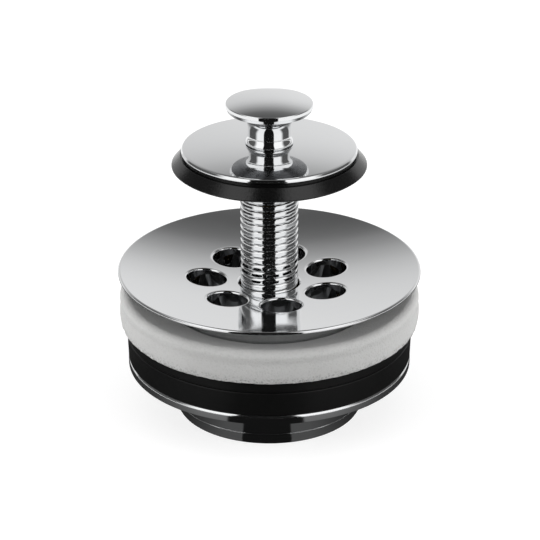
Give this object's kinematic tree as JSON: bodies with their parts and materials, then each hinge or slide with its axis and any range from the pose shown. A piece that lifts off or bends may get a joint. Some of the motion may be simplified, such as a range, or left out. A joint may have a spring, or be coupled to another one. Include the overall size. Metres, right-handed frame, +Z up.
{
  "type": "basin drain valve",
  "caption": "Basin drain valve: a knob screws a rubber-edged stopper down onto a dished strainer; foam and rubber rings on a flanged tail nut clamp it in the basin.",
  "frame": {"origin": "middle of the tail nut's bottom face, on the valve's centre line", "axes": "+Z up the stem to the knob, -Y to the side that the picture is taken from, +X to its right"},
  "size_m": [0.063, 0.063, 0.0688],
  "materials": {
    "flange_chrome": "polished chrome plate on a brass casting",
    "plate_chrome": "polished chrome plate",
    "knob_chrome": "polished chrome plate",
    "stem_chrome": "chrome-plated rolled thread",
    "nut_chrome": "chrome plate, turned",
    "bush_brass": "plain turned brass",
    "carrier_brass": "plain turned brass",
    "spring_steel": "stainless spring steel",
    "stud_steel": "stainless steel",
    "o_ring_rubber": "smooth moulded rubber",
    "seal_rubber": "satin moulded rubber",
    "gasket_rubber": "smooth moulded rubber",
    "foam": "open-skinned polyethylene foam",
    "nylon": "natural nylon"
  },
  "bodies": {
    "valve_body": {"strainer_body": "flange_chrome", "stem_bush": "bush_brass", "tail_o_ring": "o_ring_rubber"},
    "seal_group": {"stopper_seal": "seal_rubber", "seal_carrier": "carrier_brass", "slip_ring": "nylon"},
    "spindle": {"threaded_stem": "stem_chrome", "carrier_circlip": "spring_steel", "stop_circlip": "spring_steel", "stop_washer": "spring_steel", "stopper_plate": "plate_chrome", "plate_o_ring": "o_ring_rubber", "knob_stud": "stud_steel", "knob": "knob_chrome"},
    "clamp_group": {"foam_gasket": "foam", "upper_rubber_gasket": "gasket_rubber", "lower_rubber_gasket": "gasket_rubber", "friction_ring": "nylon"},
    "tail_nut_group": {"tail_nut": "nut_chrome"}
  },
  "joints": [
    {"name": "stopper_travel", "type": "slide", "parent": "valve_body", "child": "seal_group", "axis": [0, 0, 1], "range_m": [-0.024, 0]},
    {"name": "spindle_turn", "type": "hinge", "parent": "seal_group", "child": "spindle", "pos_m": [0, 0, 0.057], "axis": [0, 0, 1], "range_deg": [-5760, 0]},
    {"name": "clamp_travel", "type": "slide", "parent": "valve_body", "child": "clamp_group", "axis": [0, 0, 1], "range_m": [-0.003, 0.00225]},
    {"name": "nut_turn", "type": "hinge", "parent": "clamp_group", "child": "tail_nut_group", "pos_m": [0, 0, 0.006], "axis": [0, 0, 1], "range_deg": [-720, 540]}
  ],
  "couplings": [
    {"joint": "spindle_turn", "follows": "stopper_travel", "rad_per_m": 4188.8},
    {"joint": "nut_turn", "follows": "clamp_travel", "rad_per_m": 4188.8}
  ]
}
